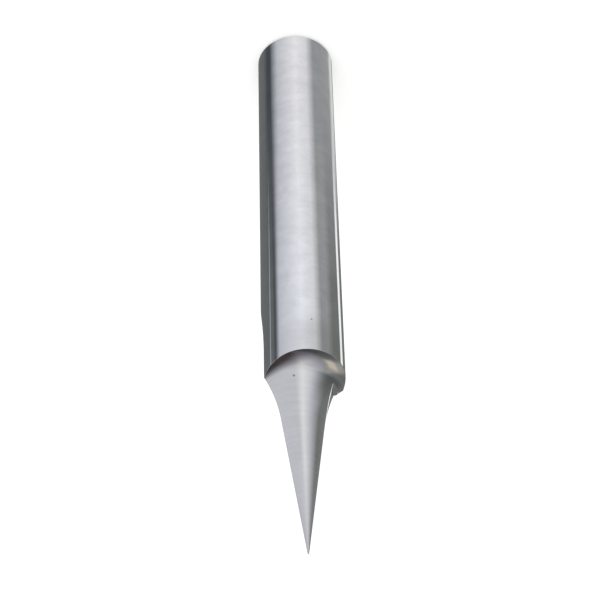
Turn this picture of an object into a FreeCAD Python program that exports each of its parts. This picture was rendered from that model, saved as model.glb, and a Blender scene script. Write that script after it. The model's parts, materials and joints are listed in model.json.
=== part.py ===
import FreeCAD
import Part
import Sketcher

import math
import os

# V groove router bit, half-round type, ground from one rod of solid tungsten carbide.
# The bit stands on its shank end with its point up: Z is the axis it spins about, the
# cutting edge lies at +X, and the rake face looks along +Y. Millimetres and degrees.

SIZES = [
    ("overall_length", 50.0, "shank end to point"),
    ("shank_diameter", 6.0, "round shank that the collet grips"),
    ("shank_chamfer", 0.3, "bevel round the shank end"),
    ("tip_width", 0.1, "width of the small flat at the point"),
    ("relief_angle", 8.95, "half angle of the relief cone"),
    ("relief_lean", 4.2, "lean of the relief cone's axis from the axis of the bit"),
    ("relief_lean_turn", 79.5, "way the cone's axis leans, turned from the cutting edge"),
    ("shoulder_from_tip", 15.5, "point to the shoulder, along the cone's axis"),
    ("flare_length", 4.15, "length over which the cone sweeps out to the shoulder"),
    ("flare_radius", 10.5, "radius of that sweep"),
    ("corner_radius", 1.9, "radius left in the corner of the shoulder"),
    ("flat_past_shoulder", 1.9, "rake face carried past the shoulder, into the shank"),
    ("flat_wheel_radius", 11.5, "radius of the wheel that ground the rake face"),
    ("heel_radius", 17.5, "radius along the heel facet, longer than the sweep's"),
    ("heel_inset", 0.03, "depth of the heel facet in the cone, where the sweep starts"),
    ("heel_end", 0.8, "end of the heel facet to the shoulder, along the bit"),
    ("heel_turn", 22.0, "way the heel facet faces, turned from -X to the back"),
    ("heel_slant", 12.0, "slant of the heel facet's grinding stroke, towards the shank"),
    ("heel_step_slope", 54.0, "slope of the step from the heel facet out to the shank"),
]

# Room that each cut has outside the rod, so that it leaves no skin.
CUT_ROOM = 1.0

# Lengths that follow from the sizes, as expressions on the sheet.
FLARE_START = "(sizes.shoulder_from_tip - sizes.flare_length)"
APEX = "(sizes.tip_width / 2 / tan(sizes.relief_angle * 1 deg))"
START_RADIUS = f"(({FLARE_START} + {APEX}) * tan(sizes.relief_angle * 1 deg))"
OUTSIDE = f"(sizes.shank_diameter / 2 + {CUT_ROOM})"


def write_sizes(doc):
    """Put every driving size into the document's sheet, under its own name."""
    sheet = doc.addObject("Spreadsheet::Sheet", "sizes")
    for row, (alias, value, meaning) in enumerate(SIZES, start=1):
        sheet.set(f"A{row}", alias)
        sheet.set(f"B{row}", str(value))
        sheet.setAlias(f"B{row}", alias)
        sheet.set(f"C{row}", meaning)
    doc.recompute()


def origin_plane(body, role):
    for feature in body.Origin.OriginFeatures:
        if feature.Role == role:
            return feature
    raise LookupError(role)


def turned_plane(body, name, turn):
    """A plane through the axis of the bit, turned about it from +X by an angle in degrees."""
    plane = body.newObject("PartDesign::Plane", name)
    plane.AttachmentSupport = [(origin_plane(body, "XZ_Plane"), "")]
    plane.MapMode = "FlatFace"
    about_axis = FreeCAD.Rotation(FreeCAD.Vector(0, 1, 0), 1)
    plane.AttachmentOffset = FreeCAD.Placement(FreeCAD.Vector(), about_axis)
    plane.setExpression("AttachmentOffset.Rotation.Angle", turn)
    return plane


def sketch_on(body, name, support):
    sketch = body.newObject("Sketcher::SketchObject", name)
    sketch.AttachmentSupport = [(support, "")]
    sketch.MapMode = "FlatFace"
    return sketch


def move_to_point(sketch, lean):
    """Put the sketch's origin at the point of the bit, and lean its y axis by an angle."""
    leaning = FreeCAD.Rotation(FreeCAD.Vector(0, 0, 1), 1)
    sketch.AttachmentOffset = FreeCAD.Placement(FreeCAD.Vector(), leaning)
    sketch.setExpression("AttachmentOffset.Base.y", "sizes.overall_length")
    sketch.setExpression("AttachmentOffset.Rotation.Angle", lean)


def measure(sketch, expression):
    return float(sketch.evalExpression(expression))


def bind(sketch, kind, places, name, expression):
    """A named dimension of a sketch, held by an expression on the sheet."""
    start = measure(sketch, expression)
    index = sketch.addConstraint(Sketcher.Constraint(kind, *places, start))
    sketch.renameConstraint(index, name)
    sketch.setExpression(f"Constraints.{name}", expression)


def line(start, end):
    return Part.LineSegment(FreeCAD.Vector(*start, 0), FreeCAD.Vector(*end, 0))


def arc(centre, radius, start, end):
    """An arc that runs anticlockwise between two angles in radians."""
    circle = Part.Circle(FreeCAD.Vector(*centre, 0), FreeCAD.Vector(0, 0, 1), radius)
    return Part.ArcOfCircle(circle, start, end)


def constrain(sketch, kind, *places):
    sketch.addConstraint(Sketcher.Constraint(kind, *places))


def check_cut(doc, feature, base):
    """Recompute, and make sure that the feature took material away."""
    doc.recompute()
    if feature.Shape.isNull() or feature.Shape.Volume > base.Shape.Volume - 0.01:
        raise RuntimeError(f"{feature.Name} cut nothing")


def add_rod(doc, body):
    """The centreless-ground rod, with the bevel that lets it enter a collet."""
    sketch = sketch_on(body, "rod_outline", origin_plane(body, "XY_Plane"))
    radius = measure(sketch, "sizes.shank_diameter") / 2
    sketch.addGeometry(Part.Circle(FreeCAD.Vector(), FreeCAD.Vector(0, 0, 1), radius))
    constrain(sketch, "Coincident", 0, 3, -1, 1)
    bind(sketch, "Diameter", [0], "rod", "sizes.shank_diameter")
    rod = body.newObject("PartDesign::Pad", "rod")
    rod.Profile = sketch
    rod.setExpression("Length", "sizes.overall_length")
    doc.recompute()

    middle = rod.Shape.BoundBox.Center.z
    edges = enumerate(rod.Shape.Edges, start=1)
    end_rim = [f"Edge{number}" for number, edge in edges if edge.BoundBox.ZMax < middle]
    bevel = body.newObject("PartDesign::Chamfer", "shank_bevel")
    bevel.Base = (rod, end_rim)
    bevel.setExpression("Size", "sizes.shank_chamfer")
    doc.recompute()
    return bevel


def add_relief(doc, body, base):
    """The relief: a cone about a leaning axis through the point, which sweeps out in a long
    arc and a smaller one to the shoulder. The lean carries the surface away behind the
    cutting edge, so that only the edge touches the work."""
    plane = turned_plane(body, "relief_plane", "sizes.relief_lean_turn")
    sketch = sketch_on(body, "relief_outline", plane)
    move_to_point(sketch, "sizes.relief_lean")

    slope = math.radians(measure(sketch, "sizes.relief_angle"))
    apex = measure(sketch, APEX)
    start = measure(sketch, FLARE_START)
    start_radius = measure(sketch, START_RADIUS)
    flare = measure(sketch, "sizes.flare_radius")
    corner = measure(sketch, "sizes.corner_radius")
    shoulder = measure(sketch, "sizes.shoulder_from_tip")
    outside = measure(sketch, "sizes.shank_diameter")
    # The sweep ends, and the corner begins, at the slope that brings the two arcs together.
    rise = shoulder - start + flare * math.sin(slope) - corner
    steep = math.asin(rise / (flare - corner))
    flare_x = start_radius + flare * math.cos(slope)
    flare_y = flare * math.sin(slope) - start
    corner_x = flare_x - (flare - corner) * math.cos(steep)

    sketch.addGeometry(line((0, apex), (start_radius, -start)))
    sketch.addGeometry(arc((flare_x, flare_y), flare, math.pi + slope, math.pi + steep))
    sketch.addGeometry(
        arc((corner_x, corner - shoulder), corner, math.pi + steep, 1.5 * math.pi)
    )
    sketch.addGeometry(line((corner_x, -shoulder), (outside, -shoulder)))
    sketch.addGeometry(line((outside, -shoulder), (outside, apex)))
    sketch.addGeometry(line((outside, apex), (0, apex)))
    for first in (0, 1, 2):
        constrain(sketch, "Tangent", first, 2, first + 1, 1)
    for first, second in ((3, 4), (4, 5), (5, 0)):
        constrain(sketch, "Coincident", first, 2, second, 1)
    constrain(sketch, "PointOnObject", 0, 1, -2)
    constrain(sketch, "Horizontal", 3)
    constrain(sketch, "Vertical", 4)
    constrain(sketch, "Horizontal", 5)
    bind(sketch, "DistanceY", [-1, 1, 0, 1], "apex", APEX)
    bind(sketch, "DistanceX", [-1, 1, 0, 2], "start_radius", START_RADIUS)
    bind(sketch, "DistanceY", [0, 2, -1, 1], "flare_start", FLARE_START)
    bind(sketch, "Radius", [1], "flare", "sizes.flare_radius")
    bind(sketch, "Radius", [2], "corner", "sizes.corner_radius")
    bind(sketch, "DistanceY", [3, 1, -1, 1], "shoulder", "sizes.shoulder_from_tip")
    bind(sketch, "DistanceX", [-1, 1, 3, 2], "outside", "sizes.shank_diameter")

    relief = body.newObject("PartDesign::Groove", "relief")
    relief.Profile = sketch
    relief.ReferenceAxis = (sketch, ["V_Axis"])
    relief.Angle = 360
    check_cut(doc, relief, base)
    return relief


def add_rake_face(doc, body, base):
    """The rake face: half of the rod is ground away down to its axis, from the point to past
    the shoulder, and the wheel leaves its own radius where it runs out of the shank."""
    sketch = sketch_on(body, "rake_outline", origin_plane(body, "YZ_Plane"))
    end_place = (
        "sizes.overall_length - sizes.shoulder_from_tip - sizes.flat_past_shoulder"
    )
    top_place = f"sizes.overall_length + {CUT_ROOM}"
    end = measure(sketch, end_place)
    top = measure(sketch, top_place)
    wheel = measure(sketch, "sizes.flat_wheel_radius")
    outside = measure(sketch, OUTSIDE)
    turn = math.acos(1 - outside / wheel)
    run_out = end - wheel * math.sin(turn)

    sketch.addGeometry(line((0, top), (0, end)))
    sketch.addGeometry(arc((wheel, end), wheel, math.pi, math.pi + turn))
    sketch.addGeometry(line((outside, run_out), (outside, top)))
    sketch.addGeometry(line((outside, top), (0, top)))
    constrain(sketch, "Tangent", 0, 2, 1, 1)
    for first, second in ((1, 2), (2, 3), (3, 0)):
        constrain(sketch, "Coincident", first, 2, second, 1)
    constrain(sketch, "PointOnObject", 0, 1, -2)
    constrain(sketch, "Vertical", 0)
    constrain(sketch, "Vertical", 2)
    constrain(sketch, "Horizontal", 3)
    bind(sketch, "Radius", [1], "wheel", "sizes.flat_wheel_radius")
    bind(sketch, "DistanceY", [-1, 1, 0, 2], "flat_end", end_place)
    bind(sketch, "DistanceY", [-1, 1, 0, 1], "top", top_place)
    bind(sketch, "DistanceX", [-1, 1, 2, 2], "outside", OUTSIDE)

    rake = body.newObject("PartDesign::Pocket", "rake_face")
    rake.Profile = sketch
    rake.Midplane = True
    rake.setExpression("Length", f"2 * {OUTSIDE}")
    check_cut(doc, rake, base)
    return rake


def add_heel(doc, body, base):
    """The heel facet: ground on the trailing side, where the relief would otherwise flare out
    and rub. Where the flare starts it runs along the cone, just under its surface, and from
    there it follows a longer radius to a steep step out to the shank. The stroke that grinds
    it slants towards the shank, away from the rake face."""
    plane = turned_plane(body, "heel_plane", "180 + sizes.heel_turn")
    sketch = sketch_on(body, "heel_outline", plane)
    move_to_point(sketch, "0")

    # On this side the lean makes the cone steeper by a fixed slope.
    lean_slope = (
        "(tan(sizes.relief_lean * 1 deg)"
        " * cos((sizes.relief_lean_turn - sizes.heel_turn) * 1 deg))"
    )
    cone_slope = f"(tan(sizes.relief_angle * 1 deg) - {lean_slope})"
    foot_reach = f"({START_RADIUS} - {FLARE_START} * {lean_slope} - sizes.heel_inset)"
    centre_reach = f"({foot_reach} + sizes.heel_radius * cos(atan({cone_slope})))"
    centre_depth = f"({FLARE_START} - sizes.heel_radius * sin(atan({cone_slope})))"
    end_depth = "(sizes.shoulder_from_tip - sizes.heel_end)"
    steepness = f"(({end_depth} - {centre_depth}) / sizes.heel_radius)"
    end_reach = f"({centre_reach} - sizes.heel_radius * sqrt(1 - {steepness} ^ 2))"
    step = f"(({OUTSIDE} - {end_reach}) / tan(sizes.heel_step_slope * 1 deg))"

    radius = measure(sketch, "sizes.heel_radius")
    centre = (measure(sketch, centre_reach), -measure(sketch, centre_depth))
    start = (centre[0] - radius, centre[1])
    end = (measure(sketch, end_reach), -measure(sketch, end_depth))
    outside = measure(sketch, OUTSIDE)
    step_end = (outside, end[1] - measure(sketch, step))
    last_angle = math.pi + math.asin((centre[1] - end[1]) / radius)

    # The arc sets off level with its centre, outside the cone, and enters it lower down.
    sketch.addGeometry(arc(centre, radius, math.pi, last_angle))
    sketch.addGeometry(line(end, step_end))
    sketch.addGeometry(line(step_end, (outside, start[1])))
    sketch.addGeometry(line((outside, start[1]), start))
    for first, second in ((0, 1), (1, 2), (2, 3)):
        constrain(sketch, "Coincident", first, 2, second, 1)
    constrain(sketch, "Coincident", 3, 2, 0, 1)
    constrain(sketch, "Vertical", 2)
    constrain(sketch, "Horizontal", 3)
    constrain(sketch, "Horizontal", 0, 1, 0, 3)
    bind(sketch, "DistanceX", [-1, 1, 0, 3], "centre_reach", centre_reach)
    bind(sketch, "DistanceY", [0, 3, -1, 1], "centre_depth", centre_depth)
    bind(sketch, "Radius", [0], "heel", "sizes.heel_radius")
    bind(sketch, "DistanceY", [0, 2, -1, 1], "end_depth", end_depth)
    bind(sketch, "DistanceX", [-1, 1, 1, 2], "outside", OUTSIDE)
    bind(sketch, "DistanceY", [1, 2, 0, 2], "step", step)

    heel = body.newObject("PartDesign::Pocket", "heel_facet")
    heel.Profile = sketch
    heel.Midplane = True
    heel.setExpression("Length", f"2 * {OUTSIDE}")
    heel.UseCustomVector = True
    heel.setExpression("Direction.x", "sin(sizes.heel_turn * 1 deg)")
    heel.setExpression("Direction.y", "-cos(sizes.heel_turn * 1 deg)")
    heel.setExpression("Direction.z", "-tan(sizes.heel_slant * 1 deg)")
    check_cut(doc, heel, base)
    return heel


def build(doc):
    write_sizes(doc)
    body = doc.addObject("PartDesign::Body", "router_bit")
    body.Label = "router_bit"
    rod = add_rod(doc, body)
    relief = add_relief(doc, body, rod)
    rake_face = add_rake_face(doc, body, relief)
    add_heel(doc, body, rake_face)
    return body


def check(doc, body):
    """Stop on any failed feature, and on a body that is not one valid solid."""
    for item in doc.Objects:
        if "Invalid" in item.State or "Error" in item.State:
            raise RuntimeError(f"{item.Name}: {item.State}")
    if body.Shape.isNull() or not body.Shape.isValid():
        raise RuntimeError(f"{body.Label} has no valid shape")
    if len(body.Shape.Solids) != 1:
        raise RuntimeError(f"{body.Label} is not one solid")


document = FreeCAD.newDocument("router_bit")
bit = build(document)
check(document, bit)
os.makedirs("parts", exist_ok=True)
bit.Shape.exportStep(os.path.join("parts", f"{bit.Label}.step"))
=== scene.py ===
import json
import math

import bpy
import numpy as np
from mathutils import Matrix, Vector


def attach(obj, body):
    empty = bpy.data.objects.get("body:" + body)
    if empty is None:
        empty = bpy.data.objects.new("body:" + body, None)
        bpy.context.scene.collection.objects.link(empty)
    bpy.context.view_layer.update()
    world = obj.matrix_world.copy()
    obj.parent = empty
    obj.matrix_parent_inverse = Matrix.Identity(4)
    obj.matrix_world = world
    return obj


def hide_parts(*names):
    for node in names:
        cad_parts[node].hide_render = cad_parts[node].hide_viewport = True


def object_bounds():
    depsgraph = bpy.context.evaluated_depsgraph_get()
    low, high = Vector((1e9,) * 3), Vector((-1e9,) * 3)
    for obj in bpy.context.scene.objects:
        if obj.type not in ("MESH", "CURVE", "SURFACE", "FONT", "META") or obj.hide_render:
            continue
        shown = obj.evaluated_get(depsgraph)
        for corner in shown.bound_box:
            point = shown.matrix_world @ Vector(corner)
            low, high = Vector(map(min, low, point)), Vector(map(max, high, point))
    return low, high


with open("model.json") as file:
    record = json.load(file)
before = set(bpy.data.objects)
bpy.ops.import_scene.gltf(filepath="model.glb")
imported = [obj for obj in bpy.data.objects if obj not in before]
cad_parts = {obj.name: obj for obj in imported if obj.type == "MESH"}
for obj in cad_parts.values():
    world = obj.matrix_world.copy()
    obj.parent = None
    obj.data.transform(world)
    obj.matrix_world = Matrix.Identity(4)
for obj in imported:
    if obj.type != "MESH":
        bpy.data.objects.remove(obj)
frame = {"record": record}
cad_box = [list(corner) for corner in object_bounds()]
scene = bpy.context.scene

# The bit's sizes are in millimetres. The rod's length and radius come from the frame, and the
# rest repeat the driving dimensions of the part's source.
MM = 0.001
LENGTH = round(cad_box[1][2] / MM, 3)
mounts = {mount["name"]: mount for mount in frame["record"]["mounts"]}
ROD_RADIUS = mounts["shank"]["dims"]["r_mm"]

# The relief of the head, ground on a rod of solid tungsten carbide

# The rod is turned against a diamond wheel on an axis that leans through the point, which
# leaves a cone that sweeps out in two arcs to the shoulder and falls away from the edge.

TIP_RADIUS = 0.05
RELIEF_SLOPE = math.radians(8.95)
LEAN = math.radians(4.2)
LEAN_TURN = math.radians(79.5)
SHOULDER = 15.5
FLARE_START = SHOULDER - 4.15
FLARE_RADIUS = 10.5
CORNER_RADIUS = 1.9
# The arcs end just short of square to the axis, where their slope would have no end.
STEEPEST_SINE = 0.999
# Where the arcs meet, as depth below the point and radius, and the sine of the slope there.
FLARE_SINE = math.sin(RELIEF_SLOPE)
FLARE_R = TIP_RADIUS + FLARE_START * math.tan(RELIEF_SLOPE)
CORNER_SINE = (SHOULDER - FLARE_START + FLARE_RADIUS * FLARE_SINE - CORNER_RADIUS) / (
    FLARE_RADIUS - CORNER_RADIUS
)
CORNER_START = FLARE_START + FLARE_RADIUS * (CORNER_SINE - FLARE_SINE)
CORNER_R = FLARE_R + FLARE_RADIUS * (
    math.sqrt(1 - FLARE_SINE**2) - math.sqrt(1 - CORNER_SINE**2)
)


def relief_profile(along):
    """Radius of the relief about its leaning axis, and its slope, at a distance along it from
    the point: a straight cone, then an arc that leaves it tangentially, then a smaller arc
    that leaves the first one tangentially and ends square to the axis."""
    flare = np.clip(FLARE_SINE + (along - FLARE_START) / FLARE_RADIUS, 0, STEEPEST_SINE)
    corner = np.clip(CORNER_SINE + (along - CORNER_START) / CORNER_RADIUS, 0, STEEPEST_SINE)
    on_flare = FLARE_R + FLARE_RADIUS * (math.sqrt(1 - FLARE_SINE**2) - np.sqrt(1 - flare**2))
    on_corner = CORNER_R + CORNER_RADIUS * (
        math.sqrt(1 - CORNER_SINE**2) - np.sqrt(1 - corner**2)
    )
    on_cone = TIP_RADIUS + along * math.tan(RELIEF_SLOPE)
    part = [along < FLARE_START, along < CORNER_START]
    sine = np.select(part, [np.full_like(along, FLARE_SINE), flare], corner)
    return np.select(part, [on_cone, on_flare], on_corner), sine / np.sqrt(1 - sine**2)


def outside_relief(r, turn, depth):
    """True where the point at radius r, angle turn and depth below the point of the bit lies
    further from the leaning axis than the profile, and not beyond the shoulder."""
    along = depth * math.cos(LEAN) + r * math.sin(LEAN) * np.cos(turn - LEAN_TURN)
    away = np.sqrt(np.maximum(r**2 + depth**2 - along**2, 0))
    return (away > relief_profile(along)[0]) & (along < SHOULDER)


HALVINGS = 48
# A search for a radius ends at this one, well outside the rod.
WIDEST = ROD_RADIUS + 1.0


def halve(low, high, outside):
    """The place between low and high where outside() turns true, by halving the gap."""
    for _ in range(HALVINGS):
        middle = (low + high) / 2
        out = outside(middle)
        low, high = np.where(out, low, middle), np.where(out, middle, high)
    return (low + high) / 2


def relief_radius(turn, depth):
    """Radius of the relief about the axis of the bit."""
    zero = np.zeros(np.broadcast(turn, depth).shape)
    return halve(zero, zero + WIDEST, lambda r: outside_relief(r, turn, depth))


def place(r, turn, depth):
    """Points in millimetres: (r cos turn, r sin turn, length less depth)."""
    r, turn, depth = np.broadcast_arrays(r, turn, depth)
    return np.stack([r * np.cos(turn), r * np.sin(turn), LENGTH - depth], axis=-1)


def relief_patch(turn, depth):
    """Points on the relief and the way out from them: the unit vector away from the leaning
    axis, less the slope times the axis."""
    points = place(relief_radius(turn, depth), turn, depth)
    axis = np.array([
        math.sin(LEAN) * math.cos(LEAN_TURN), math.sin(LEAN) * math.sin(LEAN_TURN), -math.cos(LEAN)
    ])
    from_tip = points - np.array([0, 0, LENGTH])
    along = from_tip @ axis
    away = from_tip - along[..., None] * axis
    away /= np.linalg.norm(away, axis=-1, keepdims=True)
    return points, away - relief_profile(along)[1][..., None] * axis


# The patches of the head share their columns, which run round the half that is left from
# one edge of the rake face to the other. Depths run down the rows.
COLUMNS = 241
turn = np.pi * (1 + np.linspace(0, 1, COLUMNS))
# The rim is where the relief runs out through the rod. The lean moves it up and down, by less
# than these.
RIM_UP, RIM_DOWN = 2.5, 1.5
rim = halve(
    np.full(COLUMNS, SHOULDER - RIM_UP), np.full(COLUMNS, SHOULDER + RIM_DOWN),
    lambda depth: ~outside_relief(ROD_RADIUS, turn, depth),
)

# The heel facet, ground on the trailing side with one slanting stroke

# It clears the side that would rub: it runs just under the cone, follows a longer radius than
# the flare, and ends in a steep step out to the shank.

HEEL_TURN = math.radians(180 + 22.0)
HEEL_RADIUS = 17.5
HEEL_INSET = 0.03
HEEL_END = SHOULDER - 0.8
HEEL_SLANT = math.tan(math.radians(12.0))
HEEL_STEP = math.tan(math.radians(54.0))
# The facet is sought in the columns up to this far past the way that it faces, in radians.
HEEL_REACH = 0.2
# A stone run down the ridge leaves a narrow land, with a painted highlight in its colour, and every
# other edge a fine round.
# Both are given along the axis; the ridge is steep, so its land is a quarter as wide.
LAND_ROOM = 0.17
LAND_TURN = math.radians(204.2)
LAND_RISE = math.radians(30.3)
EDGE_ROUND = 0.01

lean_slope = math.tan(LEAN) * math.cos(LEAN_TURN - HEEL_TURN + math.pi)
heel_slope = math.atan(math.tan(RELIEF_SLOPE) - lean_slope)
heel_centre = FLARE_R - FLARE_START * lean_slope - HEEL_INSET + HEEL_RADIUS * math.cos(heel_slope)
heel_start = FLARE_START - HEEL_RADIUS * math.sin(heel_slope)


def heel_profile(depth):
    """Distance of the heel facet from the axis along the way that it faces, and its slope: an
    arc of HEEL_RADIUS about a centre level with heel_start, then the straight step."""
    sine = (np.minimum(depth, HEEL_END) - heel_start) / HEEL_RADIUS
    reach = heel_centre - HEEL_RADIUS * np.sqrt(1 - sine**2)
    past = depth > HEEL_END
    reach = np.where(past, reach + (depth - HEEL_END) * HEEL_STEP, reach)
    return reach, np.where(past, HEEL_STEP, sine / np.sqrt(1 - sine**2))


def on_slant(r, turn, depth):
    """Depth at which the slanting stroke crosses the middle plane of the facet."""
    return depth - HEEL_SLANT * r * np.sin(turn - HEEL_TURN)


def heel_radius(turn, depth):
    """Radius of the heel facet about the axis: where r cos(turn) reaches its profile."""
    zero = np.zeros(np.broadcast(turn, depth).shape)
    return halve(
        zero, zero + WIDEST,
        lambda r: r * np.cos(turn - HEEL_TURN) > heel_profile(on_slant(r, turn, depth))[0],
    )


def heel_cuts(depth):
    """True in the columns where the heel facet lies inside the relief at this depth."""
    inside = heel_radius(turn, depth) < relief_radius(turn, depth)
    return inside & (turn < HEEL_TURN + HEEL_REACH)


end_reach = heel_profile(np.array(HEEL_END))[0]
corner = HEEL_END + HEEL_SLANT * end_reach * np.tan(np.minimum(turn - HEEL_TURN, HEEL_REACH))
has_heel = heel_cuts(corner)
corner = np.where(has_heel, corner, HEEL_END)
ridge = np.where(has_heel, halve(np.full(COLUMNS, heel_start), corner, heel_cuts), HEEL_END)
step_end = np.where(has_heel, halve(corner, rim, lambda depth: ~heel_cuts(depth)), HEEL_END)
ridge_room = np.minimum(LAND_ROOM, (corner - ridge) / 4)
step_room = np.minimum(EDGE_ROUND, (step_end - corner) / 4)


def heel_patch(turn, depth):
    """Points on the heel facet or its step. The way out is the way that it faces, plus the
    slope times the axis, plus the slope and the slant times the way of the stroke. In the
    columns that the heel doesn't reach, the points are on the relief."""
    turn, depth = np.broadcast_arrays(turn, depth)
    r = heel_radius(turn, depth)
    slope = heel_profile(on_slant(r, turn, depth))[1][..., None]
    faces = np.array([math.cos(HEEL_TURN), math.sin(HEEL_TURN), 0])
    stroke = np.array([-math.sin(HEEL_TURN), math.cos(HEEL_TURN), 0])
    out = faces + slope * np.array([0, 0, 1.0]) + slope * HEEL_SLANT * stroke
    relief_points, relief_out = relief_patch(turn, depth)
    cut = has_heel[None, :, None]
    return np.where(cut, place(r, turn, depth), relief_points), np.where(cut, out, relief_out)


def rows_between(start, end, count):
    """Rows of depths that run evenly from one edge curve to the next."""
    share = np.linspace(0, 1, count)[:, None]
    return np.atleast_1d(start) * (1 - share) + np.atleast_1d(end) * share


relief_rows = relief_patch(turn, rows_between(0, ridge - ridge_room, count=110))
heel_rows = heel_patch(turn, rows_between(ridge + ridge_room, corner - step_room, count=24))
step_rows = heel_patch(turn, rows_between(corner + step_room, step_end - step_room, count=10))
# The land runs straight across the ridge, from the last row of the relief to the heel's first.
land_points = np.stack([relief_rows[0][-1], heel_rows[0][0]])
land_out = np.array([
    math.cos(LAND_RISE) * math.cos(LAND_TURN), math.cos(LAND_RISE) * math.sin(LAND_TURN),
    math.sin(LAND_RISE),
])
flush_out = np.stack([relief_rows[1][-1], heel_rows[1][0]])
land_rows = (land_points, np.where(has_heel[None, :, None], land_out, flush_out))
shoulder_rows = relief_patch(
    turn, rows_between(step_end + step_room, rim - EDGE_ROUND, count=40)
)

# The shank: the same rod, centreless-ground and polished for the collet

# Its upper part is half-round as far as the rake face goes, then the wheel runs out, and the
# far end has a bevel at 45 degrees and a flat face that was cut off and ground square.

RAKE_END = SHOULDER + 1.9
WHEEL_RADIUS = 11.5
END_BEVEL = 0.3


def rod_patch(turn, depth):
    """Points on the rod, at ROD_RADIUS all round; the way out is away from the axis."""
    points = place(ROD_RADIUS, turn, depth)
    return points, points * np.array([1, 1, 0])


def bevel_patch(turn, depth):
    """The cone of the end bevel: its radius falls by as much as the depth grows."""
    points = place(ROD_RADIUS - END_BEVEL + LENGTH - depth, turn, depth)
    return points, points * np.array([1, 1, 0]) / ROD_RADIUS + np.array([0, 0, -1.0])


def disc_patch(radii, turn, depth, up):
    """Rings of a flat disc that is square to the axis and faces up or down."""
    points = place(radii, turn, depth)
    return points, np.zeros_like(points) + np.array([0, 0, up])


# Where the wheel runs out, a height h above the axis is reached at the depth
# RAKE_END + sqrt(R^2 - (R - h)^2), and the columns spread round to the front.
run_angle = np.linspace(0, np.pi / 2, num=61)[:, None]
run_height = ROD_RADIUS * np.sin(run_angle)
run_depth = RAKE_END + np.sqrt(WHEEL_RADIUS**2 - (WHEEL_RADIUS - run_height) ** 2)
round_share = np.linspace(0, 1, COLUMNS)
full_turn = np.pi / 2 + 2 * np.pi * round_share
shank_end = LENGTH - END_BEVEL

half_rod_rows = rod_patch(turn, rows_between(rim + EDGE_ROUND, RAKE_END, count=16))
run_rows = rod_patch(np.pi - run_angle + (np.pi + 2 * run_angle) * round_share, run_depth)
full_rows = rod_patch(
    full_turn, rows_between(run_depth[-1, 0], shank_end - EDGE_ROUND, count=40)
)
bevel_rows = bevel_patch(
    full_turn, rows_between(shank_end + EDGE_ROUND, LENGTH - EDGE_ROUND, count=4)
)
end_radii = np.linspace(ROD_RADIUS - END_BEVEL - EDGE_ROUND, 0, num=12)[:, None]
end_rows = disc_patch(end_radii, full_turn, LENGTH, -1.0)
# The lines across the rake face have as many steps to each side as the tip's flat has rings.
ACROSS = np.linspace(0, 1, num=5)
tip_radii = ACROSS[:, None] * relief_radius(turn, np.zeros(COLUMNS))
tip_rows = disc_patch(tip_radii, turn, 0.0, 1.0)

# The rake face: half the rod is ground away down to its axis, for the cutting edge

# A cup wheel goes straight in along the axis, so the face is flat, and where it lifts out the
# wheel leaves its own radius.


def lines_across(points):
    """Straight lines from the last column of a grid to the middle, where x is 0, and on to
    the first column."""
    share = ACROSS[None, :, None]
    first, last = points[:, :1], points[:, -1:]
    middle = (first + last) / 2 * np.array([0, 1, 1])
    inward = last * (1 - share) + middle * share
    outward = middle * (1 - share) + first * share
    return np.concatenate([inward, outward[:, 1:]], axis=1)


head_parts = [relief_rows, land_rows, heel_rows, step_rows, shoulder_rows, half_rod_rows]
rake_points = lines_across(np.concatenate([points for points, _ in head_parts]))
rake_face = (rake_points, np.zeros_like(rake_points) + np.array([0, 1.0, 0]))
run_points = lines_across(run_rows[0])
wheel_centre = np.array([0, WHEEL_RADIUS, LENGTH - RAKE_END])
run_face = (run_points, (wheel_centre - run_points) * np.array([0, 1, 1]))

# The bit as one closed skin, one piece of carbide, with a finish for each ground face

# Between two parts of a stack the skin has one narrow row, over which its light turns.


def stack_parts(parts, finishes):
    """Grids of points and ways out laid on each other, with the finish of each row."""
    points = np.concatenate([points for points, _ in parts])
    out = np.concatenate([out / np.linalg.norm(out, axis=-1, keepdims=True) for _, out in parts])
    finish = np.repeat(finishes, [len(points) for points, _ in parts])
    return points, out, finish


# Corners that are this near to each other are one, in millimetres.
WELD = 0.0005


def weld_skin(name, stacks):
    """One mesh from stacks of grids. Corners that round to the same step of WELD are made
    one, a face keeps the corners that differ from the one before, a face with fewer than
    three is dropped, and each corner keeps its own way out."""
    points, outs, faces, finishes = [], [], [], []
    start = 0
    for grid, out, finish in stacks:
        rows, columns = grid.shape[:2]
        number = start + np.arange(rows * columns).reshape(rows, columns)
        quads = np.stack([number[:-1, :-1], number[1:, :-1], number[1:, 1:], number[:-1, 1:]], -1)
        faces.append(quads.reshape(-1, 4))
        finishes.append(np.repeat(finish[1:], columns - 1))
        points.append(grid.reshape(-1, 3))
        outs.append(out.reshape(-1, 3))
        start += rows * columns
    points, outs = np.concatenate(points), np.concatenate(outs)
    faces, finishes = np.concatenate(faces), np.concatenate(finishes)
    _, kept, welded = np.unique(
        np.round(points / WELD).astype(int), axis=0, return_index=True, return_inverse=True
    )
    welded = welded.reshape(-1)
    differs = welded[faces] != welded[np.roll(faces, 1, axis=1)]
    whole = differs.sum(axis=1) > 2
    corners = faces[whole][differs[whole]]
    sides = differs[whole].sum(axis=1)

    mesh = bpy.data.meshes.new(name)
    mesh.vertices.add(len(kept))
    mesh.vertices.foreach_set("co", (points[kept] * MM).ravel())
    mesh.loops.add(len(corners))
    mesh.loops.foreach_set("vertex_index", welded[corners].astype(np.int32))
    mesh.polygons.add(len(sides))
    mesh.polygons.foreach_set("loop_start", (np.cumsum(sides) - sides).astype(np.int32))
    mesh.polygons.foreach_set("material_index", finishes[whole].astype(np.int32))
    mesh.update(calc_edges=True)
    mesh.normals_split_custom_set(outs[corners])
    return mesh


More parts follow.
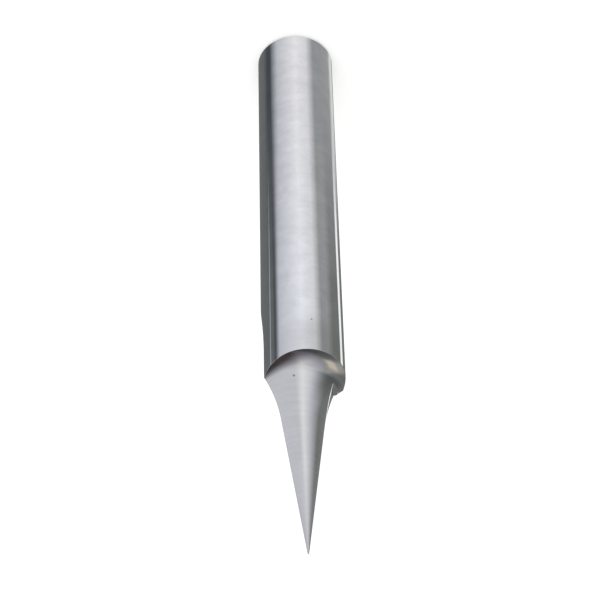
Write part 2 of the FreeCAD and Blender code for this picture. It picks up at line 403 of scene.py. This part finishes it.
RELIEF, LAND, HEEL, SHOULDER_FACE, SHANK, RAKE, END = range(7)
skin = weld_skin("router_bit_ground", [
    stack_parts([tip_rows], [RELIEF]),
    stack_parts(
        head_parts + [run_rows, full_rows, bevel_rows, end_rows],
        [RELIEF, LAND, HEEL, HEEL, SHOULDER_FACE, SHANK, SHANK, SHANK, END, END],
    ),
    stack_parts([rake_face], [RAKE]),
    stack_parts([run_face], [RAKE]),
])
bit = bpy.data.objects.new("router_bit_ground", skin)
scene.collection.objects.link(bit)
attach(bit, "root")
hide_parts("router_bit")

# The finishes: sintered tungsten carbide, as each wheel and stone leaves it


def linear(hex_colour):
    """An sRGB hex colour as the linear values that a shader takes."""
    values = [int(hex_colour[i:i + 2], 16) / 255 for i in (1, 3, 5)]
    return [v / 12.92 if v <= 0.04045 else ((v + 0.055) / 1.055) ** 2.4 for v in values] + [1.0]


def add_node(tree, kind, inputs=None, stops=(), **settings):
    """Add a node. Inputs are given by name or number, as a value or as the socket that feeds
    them, settings are the node's own, and stops are a ramp's places and hex colours."""
    node = tree.nodes.new(kind)
    for name, value in settings.items():
        setattr(node, name, value)
    for name, value in (inputs or {}).items():
        if isinstance(value, bpy.types.NodeSocket):
            tree.links.new(value, node.inputs[name])
        else:
            node.inputs[name].default_value = value
    for number, (position, colour) in enumerate(stops):
        if number >= len(node.color_ramp.elements):
            node.color_ramp.elements.new(position)
        node.color_ramp.elements[number].position = position
        node.color_ramp.elements[number].color = linear(colour)
    return node


# Carbide grains are under 0.002 mm, so the cloudiness is drawn as coarse as the photograph's
# mottling, in patches 1.2 mm wide. Nearly all of the noise lies between its low and high.
CLOUD_SIZE = 1.2
NOISE_LOW, NOISE_HIGH = 0.3, 0.7
# The thin end springs under the wheel and comes out coarser, over its last 9 mm.
COARSE_LENGTH = 9.0
COARSE_EXTRA = 0.4
# The clouds break up the outline of a mark, by up to this share of its reach either way.
RAGGED = 0.25


def ground_carbide(name, colours, roughness, cloud_share, line_size, line_height, marks=()):
    """Sintered tungsten carbide under a diamond wheel: a bright grey metal with a faint blue.
    The wheel leaves fine lines of a length and spacing, which lie across the axis, and the
    sintering a light cloudiness, which has its share of the pattern. Colours and roughness
    run from the pattern's low to its high. Sizes are in millimetres."""
    material = bpy.data.materials.new(name)
    material.use_nodes = True
    tree = material.node_tree
    tree.nodes.clear()
    here = add_node(tree, "ShaderNodeTexCoord").outputs["Object"]
    length, spacing = line_size
    line_scale = [1 / (size * MM) for size in (length, length, spacing)]
    stretched = add_node(tree, "ShaderNodeMapping", {"Vector": here, "Scale": line_scale})
    lines = add_node(
        tree, "ShaderNodeTexNoise",
        {"Vector": stretched.outputs[0], "Scale": 1.0, "Detail": 3.0, "Roughness": 0.6},
    ).outputs[0]
    clouds = add_node(
        tree, "ShaderNodeTexNoise",
        {"Vector": here, "Scale": 1 / (CLOUD_SIZE * MM), "Detail": 4.0, "Roughness": 0.65},
    ).outputs[0]
    mixed = add_node(
        tree, "ShaderNodeMix", {"Factor": cloud_share, "A": lines, "B": clouds}, data_type="FLOAT"
    ).outputs["Result"]
    colour = add_node(
        tree, "ShaderNodeValToRGB", {"Fac": mixed},
        stops=[(NOISE_LOW, colours[0]), (NOISE_HIGH, colours[1])],
    ).outputs["Color"]
    rough = add_node(
        tree, "ShaderNodeMapRange",
        {"Value": mixed, "From Min": NOISE_LOW, "From Max": NOISE_HIGH,
         "To Min": roughness[0], "To Max": roughness[1]},
    ).outputs[0]
    coarse = add_node(
        tree, "ShaderNodeMapRange",
        {"Value": add_node(tree, "ShaderNodeSeparateXYZ", {0: here}).outputs["Z"],
         "From Min": (LENGTH - COARSE_LENGTH) * MM, "From Max": LENGTH * MM,
         "To Min": 0.0, "To Max": COARSE_EXTRA},
    ).outputs[0]
    rough = add_node(tree, "ShaderNodeMath", {0: rough, 1: coarse}, operation="ADD").outputs[0]
    for mark in marks:
        away = add_node(
            tree, "ShaderNodeVectorMath", {0: here, 1: [v * MM for v in mark["at"]]},
            operation="DISTANCE",
        ).outputs["Value"]
        away = add_node(
            tree, "ShaderNodeMath", {0: clouds, 1: -2 * RAGGED * mark["reach"] * MM, 2: away},
            operation="MULTIPLY_ADD",
        ).outputs[0]
        inside = add_node(
            tree, "ShaderNodeMapRange",
            {"Value": away, "From Min": (mark["full"] - RAGGED * mark["reach"]) * MM,
             "From Max": (1 - RAGGED) * mark["reach"] * MM, "To Min": mark["share"], "To Max": 0.0},
            interpolation_type="SMOOTHSTEP",
        ).outputs[0]
        colour = add_node(
            tree, "ShaderNodeMix",
            {"Factor": inside, "A": colour, "B": linear(mark["colour"])}, data_type="RGBA",
        ).outputs["Result"]
    bump = add_node(
        tree, "ShaderNodeBump", {"Height": lines, "Strength": 1.0, "Distance": line_height * MM}
    ).outputs[0]
    shader = add_node(
        tree, "ShaderNodeBsdfPrincipled",
        {"Base Color": colour, "Metallic": 1.0, "Roughness": rough, "Normal": bump},
    ).outputs[0]
    add_node(tree, "ShaderNodeOutputMaterial", {"Surface": shader})
    return material


# A mark is full out to one distance from its place, and fades away out to its reach.
# A pore in the carbide shows as a dark dot 0.1 mm wide.
PORE = {"full": 0.03, "reach": 0.11, "colour": "#2A2C30"}
HEAD_PORE = {"at": (1.28, -1.42, 35.75), "share": 0.7, **PORE}
SHANK_PORE = {"at": (0.438, -2.968, 31.45), "share": 0.6, **PORE}
# The shank's colour is painted darker in a patch just above the shoulder.
DARK_PATCH_ABOVE_SHOULDER = {"at": (0.1, -3.0, 33.4), "full": 0.7, "reach": 3.2, "share": 0.3, "colour": "#8A8B86"}

# The lines of a fine diamond wheel lie about 0.03 mm apart, too fine for the render, so they
# are drawn 0.2 to 0.3 mm apart and a ten thousandth of a millimetre high or less.
# The relief is satin: the room runs together in it into soft stripes down the head.
skin.materials.append(ground_carbide(
    "wheel_ground_carbide_relief", colours=("#C8C8CB", "#D2D3D6"), roughness=(0.13, 0.19),
    cloud_share=0.5, line_size=(2.5, 0.25), line_height=5e-5, marks=[HEAD_PORE],
))
# The honed land is nearly a mirror, so it is one bright line or none. Its colour is painted lighter
# than the relief's, a painted highlight along the ridge.
skin.materials.append(ground_carbide(
    "honed_carbide_land_painted_highlight", colours=("#E4E4E6", "#ECECEE"), roughness=(0.04, 0.06),
    cloud_share=0.5, line_size=(2.5, 0.25), line_height=1e-5,
))
# The heel facet comes off a finer part of the wheel than the relief and is a little brighter.
skin.materials.append(ground_carbide(
    "wheel_ground_carbide_heel", colours=("#C4C5C9", "#D2D3D7"), roughness=(0.1, 0.14),
    cloud_share=0.5, line_size=(2.0, 0.2), line_height=4e-5,
))
# The shoulder is ground by the wheel's edge: satin, with a dark gleam under the rim.
skin.materials.append(ground_carbide(
    "wheel_ground_carbide_shoulder", colours=("#C4C4C8", "#D2D2D6"), roughness=(0.12, 0.18),
    cloud_share=0.5, line_size=(2.5, 0.2), line_height=6e-5,
))
# The shank is polished for the collet: a cloudy mirror with bands along it.
skin.materials.append(ground_carbide(
    "centreless_ground_carbide_shank", colours=("#C8C8CA", "#D9D9DB"), roughness=(0.035, 0.065),
    cloud_share=0.8, line_size=(3.0, 0.3), line_height=4e-6, marks=[SHANK_PORE, DARK_PATCH_ABOVE_SHOULDER],
))
# The rake face is plain satin, with the wheel's lines across it.
skin.materials.append(ground_carbide(
    "fine_ground_carbide_rake", colours=("#CBCCD0", "#D5D6DA"), roughness=(0.12, 0.2),
    cloud_share=0.5, line_size=(4.0, 0.2), line_height=8e-5,
))
# The far end and its bevel are cut off and ground dull.
skin.materials.append(ground_carbide(
    "cut_off_ground_carbide_end", colours=("#B9BABD", "#C9CACD"), roughness=(0.3, 0.42),
    cloud_share=0.5, line_size=(0.3, 3.0), line_height=1e-4,
))

# The camera, where the photograph was taken from: above the point, with the shank going away

# Its place, turn and lens are those of a camera fitted to the outlines in the photograph.

camera = bpy.data.objects.new("camera", bpy.data.cameras.new("camera"))
scene.collection.objects.link(camera)
camera.location = (0.0431425, -0.1095625, 0.1381407)
camera.rotation_euler = [math.radians(a) for a in (-46.58826, -1.11622, -159.61338)]
camera.data.sensor_width = 36.0
camera.data.lens = 132.1968
camera.data.clip_start = 0.005
camera.data.clip_end = 20.0
scene.camera = camera

# The table: white paper that glows a little to the camera, so that it comes out white

# The bit's metal doesn't see it, but the room's own lower half.

# Half of the table's side, in metres.
TABLE_HALF = 3
table = bpy.data.objects.new("table", bpy.data.meshes.new("table"))
table.data.from_pydata([
    (x * TABLE_HALF, y * TABLE_HALF, 0) for x, y in ((-1, -1), (1, -1), (1, 1), (-1, 1))
], [], [(0, 1, 2, 3)])
scene.collection.objects.link(table)
table.visible_glossy = False
paper = bpy.data.materials.new("white_paper")
paper.use_nodes = True
tree = paper.node_tree
tree.nodes.clear()
paper_matt = add_node(tree, "ShaderNodeBsdfDiffuse", {"Color": linear("#F0F0EF")}).outputs[0]
seen_by_camera = add_node(tree, "ShaderNodeLightPath").outputs["Is Camera Ray"]
paper_glow = add_node(
    tree, "ShaderNodeEmission", {"Color": linear("#8C8C8C"), "Strength": seen_by_camera}
).outputs[0]
both = add_node(tree, "ShaderNodeAddShader", {0: paper_matt, 1: paper_glow}).outputs[0]
add_node(tree, "ShaderNodeOutputMaterial", {"Surface": both})
table.data.materials.append(paper)

# The room: white card in front, dark cloth on the left, grey wall and a window on the right

# A polished shank is a mirror, so the room gives it its bands. Bearings are in degrees to the
# right of the camera's side, and heights are the sine of the angle above the horizon.

room = bpy.data.worlds.new("white_room")
scene.world = room
room.use_nodes = True
tree = room.node_tree
tree.nodes.clear()
camera_side = math.atan2(camera.location.y, camera.location.x)
front = (math.cos(camera_side), math.sin(camera_side), 0)
right = (math.sin(camera_side), -math.cos(camera_side), 0)
heading = add_node(tree, "ShaderNodeTexCoord").outputs["Generated"]
to_front = add_node(
    tree, "ShaderNodeVectorMath", {0: heading, 1: front}, operation="DOT_PRODUCT"
).outputs["Value"]
to_right = add_node(
    tree, "ShaderNodeVectorMath", {0: heading, 1: right}, operation="DOT_PRODUCT"
).outputs["Value"]
height = add_node(tree, "ShaderNodeSeparateXYZ", {0: heading}).outputs["Z"]
radians_right = add_node(
    tree, "ShaderNodeMath", {0: to_right, 1: to_front}, operation="ARCTAN2"
).outputs[0]
bearing = add_node(
    tree, "ShaderNodeMath", {0: radians_right, 1: 180 / math.pi}, operation="MULTIPLY"
).outputs[0]
round_room = add_node(
    tree, "ShaderNodeMapRange", {"Value": bearing, "From Min": -180.0, "From Max": 180.0}
).outputs[0]


def by_bearing(*stops):
    """The stops of a ramp that goes once round the room, from bearings and colours."""
    return [((degrees + 180) / 360, colour) for degrees, colour in stops]


# The walls: the dark side of the room, a cloth, and a grey wall on the right with its shade.
# Level with the head is a pale wall with a glow. The front card is dimmer at its edges, and
# daylight turns its nearer part a little blue.
BACK, CLOTH, WALL, SHADE = "#686C6B", "#4A4E53", "#9E9F9F", "#7A7C79"
PALE, GLOW = "#D4D4D8", "#F6F5F3"
CARD, CARD_IN_DAYLIGHT, CARD_LEFT, CARD_RIGHT = "#F6F6F7", "#F7F9FF", "#C7CAD0", "#E5E5E7"
# Low down, as the far end of the shank sees it.
far_wall = add_node(tree, "ShaderNodeValToRGB", {"Fac": round_room}, by_bearing(
    (-180, BACK), (-115, BACK), (-98, CLOTH), (-85, CLOTH), (-58, CARD_LEFT), (0, CARD),
    (34, CARD_RIGHT), (57, WALL), (125, WALL), (180, BACK),
)).outputs["Color"]
# A little higher, as the near end sees it, the card starts later and the wall gets darker.
near_wall = add_node(tree, "ShaderNodeValToRGB", {"Fac": round_room}, by_bearing(
    (-180, BACK), (-90, BACK), (-79, CLOTH), (-66, CARD_LEFT), (0, CARD_IN_DAYLIGHT),
    (36, CARD_RIGHT), (56, WALL), (75, WALL), (95, SHADE), (180, BACK),
)).outputs["Color"]
# Level with the head, the wall glows at the right of the camera and is dark beyond.
level_wall = add_node(tree, "ShaderNodeValToRGB", {"Fac": round_room}, by_bearing(
    (-180, SHADE), (-110, PALE), (0, PALE), (20, GLOW), (46, PALE), (95, SHADE), (180, SHADE),
)).outputs["Color"]
# The heights between which one wall gives way to the next.
FAR_TO_NEAR = (-0.75, -0.69)
NEAR_TO_LEVEL = (-0.66, -0.61)
room_light = far_wall
for next_wall, (start, end) in ((near_wall, FAR_TO_NEAR), (level_wall, NEAR_TO_LEVEL)):
    share = add_node(
        tree, "ShaderNodeMapRange", {"Value": height, "From Min": start, "From Max": end}
    ).outputs[0]
    room_light = add_node(
        tree, "ShaderNodeMix", {"Factor": share, "A": room_light, "B": next_wall}, data_type="RGBA"
    ).outputs["Result"]

# Overhead the room gets dark.
overhead = add_node(tree, "ShaderNodeValToRGB", {"Fac": height}, stops=[
    (0.2, "#FFFFFF"), (0.71, "#DEDEDE"), (0.88, "#C4C2C6"), (1.0, "#807C80"),
]).outputs["Color"]
room_light = add_node(
    tree, "ShaderNodeMix", {"Factor": 1.0, "A": room_light, "B": overhead}, data_type="RGBA",
    blend_type="MULTIPLY",
).outputs["Result"]

# On the left a dark cloth hangs from the ceiling. Its edge leans: it falls by one for every
# CLOTH_LEAN degrees to the left, and it ends before the back wall.
CLOTH_LEAN = 131
above_edge = add_node(
    tree, "ShaderNodeMath", {0: bearing, 1: -1 / CLOTH_LEAN, 2: height}, operation="MULTIPLY_ADD"
).outputs[0]
in_cloth = 1.0
for value, start, end in (
    (above_edge, 0.42, 0.98), (height, 0.02, 0.22), (bearing, -140.0, -105.0),
):
    share = add_node(
        tree, "ShaderNodeMapRange", {"Value": value, "From Min": start, "From Max": end}
    ).outputs[0]
    in_cloth = add_node(
        tree, "ShaderNodeMath", {0: in_cloth, 1: share}, operation="MULTIPLY"
    ).outputs[0]
room_light = add_node(
    tree, "ShaderNodeMix", {"Factor": in_cloth, "A": room_light, "B": linear("#40393A")},
    data_type="RGBA",
).outputs["Result"]


def hang_card(behind, colour, bearings, heights, rise=0.0):
    """Hang a card in front of what is behind. Bearings and heights give the places where it
    begins, is full, is full still and ends; its lower edge rises by rise for each degree."""
    above_lower_edge = add_node(
        tree, "ShaderNodeMath", {0: bearing, 1: -rise, 2: height}, operation="MULTIPLY_ADD"
    ).outputs[0]
    in_card = 1.0
    for value, start, end, before, past in (
        (bearing, bearings[0], bearings[1], 0.0, 1.0),
        (bearing, bearings[2], bearings[3], 1.0, 0.0),
        (above_lower_edge, heights[0], heights[1], 0.0, 1.0),
        (height, heights[2], heights[3], 1.0, 0.0),
    ):
        share = add_node(
            tree, "ShaderNodeMapRange",
            {"Value": value, "From Min": start, "From Max": end, "To Min": before, "To Max": past},
            interpolation_type="SMOOTHSTEP",
        ).outputs[0]
        in_card = add_node(
            tree, "ShaderNodeMath", {0: in_card, 1: share}, operation="MULTIPLY"
        ).outputs[0]
    return add_node(
        tree, "ShaderNodeMix", {"Factor": in_card, "A": behind, "B": linear(colour)},
        data_type="RGBA",
    ).outputs["Result"]


# The right side of the room, as the head sees it: a dark recess, a grey board that stands up
# slanting, and a beige box on top, which is the warm spot on the lobe of the shoulder.
room_light = hang_card(room_light, "#5C5E5C", (38, 98, 116, 140), (-0.42, -0.12, 0.12, 0.3))
room_light = hang_card(
    room_light, "#A3A39C", (68, 84, 132, 150), (-0.48, -0.36, 0.77, 0.87), rise=0.0084
)
room_light = hang_card(room_light, "#D8CEBA", (80, 90, 103, 112), (0.47, 0.62, 0.77, 0.85))
# A window low on the right, with its sill below: the white stripe down the shank.
room_light = hang_card(room_light, "#D2D7D3", (122, 141, 153, 163), (-1.2, -1.1, -0.75, -0.7))
room_light = hang_card(room_light, "#FFFFFF", (125, 128, 139, 142), (-0.75, -0.7, *NEAR_TO_LEVEL))
# The edge of the cloth on the left: one thin light line.
room_light = hang_card(
    room_light, "#A8AEAE", (-102.5, -100.5, -99.5, -97.5), (-0.74, -0.69, *NEAR_TO_LEVEL)
)
# A slip of paper above the window, for the gleam of the honed land.
room_light = hang_card(room_light, "#FFFFFF", (131, 134, 147, 150), (-0.37, -0.35, -0.26, -0.24))

# The light: plain white for the paper and the camera, the room for the metal, and one lamp

rays = add_node(tree, "ShaderNodeLightPath").outputs
for_paper = add_node(tree, "ShaderNodeBackground", {"Color": linear("#FFFFFF"), "Strength": 0.8})
for_camera = add_node(tree, "ShaderNodeBackground", {"Color": linear("#FFFFFF"), "Strength": 1.0})
for_metal = add_node(tree, "ShaderNodeBackground", {"Color": room_light, "Strength": 1.25})
plain = add_node(
    tree, "ShaderNodeMixShader",
    {"Fac": rays["Is Camera Ray"], 1: for_paper.outputs[0], 2: for_camera.outputs[0]},
).outputs[0]
lit = add_node(
    tree, "ShaderNodeMixShader", {"Fac": rays["Is Glossy Ray"], 1: plain, 2: for_metal.outputs[0]}
).outputs[0]
add_node(tree, "ShaderNodeOutputWorld", {"Surface": lit})

# The lamp is large, soft and in front, for the shadow on the table.
lamp = bpy.data.objects.new("soft_lamp", bpy.data.lights.new("soft_lamp", "AREA"))
scene.collection.objects.link(lamp)
lamp.data.shape = "SQUARE"
lamp.data.size = 0.5
lamp.data.energy = 1.2
lamp.location = (0.15, -0.3, 0.45)
lamp.rotation_euler = (Vector((0, 0, 0.02)) - lamp.location).to_track_quat("-Z", "Y").to_euler()
lamp.visible_glossy = False

scene.view_settings.view_transform = "Standard"
